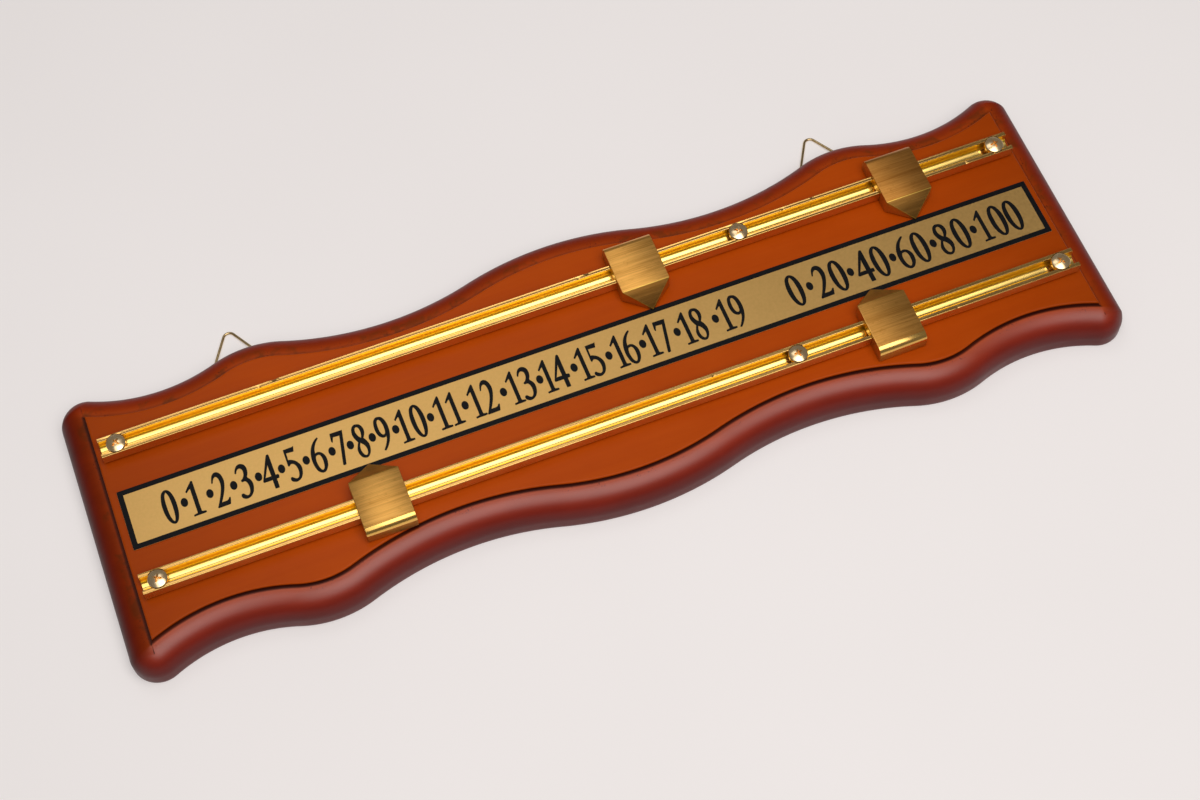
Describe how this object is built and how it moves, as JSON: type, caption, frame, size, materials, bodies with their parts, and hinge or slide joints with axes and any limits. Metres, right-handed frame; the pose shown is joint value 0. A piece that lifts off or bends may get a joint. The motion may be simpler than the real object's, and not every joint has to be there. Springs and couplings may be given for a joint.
{
  "type": "snooker scoreboard",
  "caption": "Wall-hung two-player snooker scoreboard: wavy moulded wooden board, number strip, brass rails with sliding pointers, wire hanging rings.",
  "frame": {"origin": "centre of the board's flat back", "axes": "+X along the board, left to right as it hangs; +Y towards the hanging edge; +Z out of the face"},
  "size_m": [0.3788, 0.1245, 0.022],
  "materials": {
    "wood": "stained mahogany colour, satin lacquer",
    "plate": "satin gold with black print",
    "rail": "polished",
    "slider": "brushed along the rail",
    "screw": "bright brassed steel",
    "hanger": "brassed steel, bright"
  },
  "bodies": {
    "board": {"backboard": "wood", "number_plate": "plate", "upper_rail": "rail", "lower_rail": "rail", "rail_screws": "screw", "left_hanger_clip": "hanger", "right_hanger_clip": "hanger", "hanger_screws": "hanger"},
    "upper_points_slider": {"upper_points_slider": "slider"},
    "upper_twenties_slider": {"upper_twenties_slider": "slider"},
    "lower_points_slider": {"lower_points_slider": "slider"},
    "lower_twenties_slider": {"lower_twenties_slider": "slider"},
    "left_hanger_ring": {"left_hanger_ring": "hanger"},
    "right_hanger_ring": {"right_hanger_ring": "hanger"}
  },
  "joints": [
    {"name": "upper_points_slide", "type": "slide", "parent": "board", "child": "upper_points_slider", "axis": [1, 0, 0], "range_m": [-0.1846, 0.0276]},
    {"name": "upper_twenties_slide", "type": "slide", "parent": "board", "child": "upper_twenties_slider", "axis": [1, 0, 0], "range_m": [-0.0519, 0.0269]},
    {"name": "lower_points_slide", "type": "slide", "parent": "board", "child": "lower_points_slider", "axis": [1, 0, 0], "range_m": [-0.0678, 0.1444]},
    {"name": "lower_twenties_slide", "type": "slide", "parent": "board", "child": "lower_twenties_slider", "axis": [1, 0, 0], "range_m": [-0.0235, 0.0553]},
    {"name": "left_ring_hinge", "type": "hinge", "parent": "board", "child": "left_hanger_ring", "pos_m": [-0.1219, 0.05125, 0.00185], "axis": [1, 0, 0], "range_deg": [-150, 4]},
    {"name": "right_ring_hinge", "type": "hinge", "parent": "board", "child": "right_hanger_ring", "pos_m": [0.1142, 0.05125, 0.00185], "axis": [1, 0, 0], "range_deg": [-150, 4]}
  ]
}
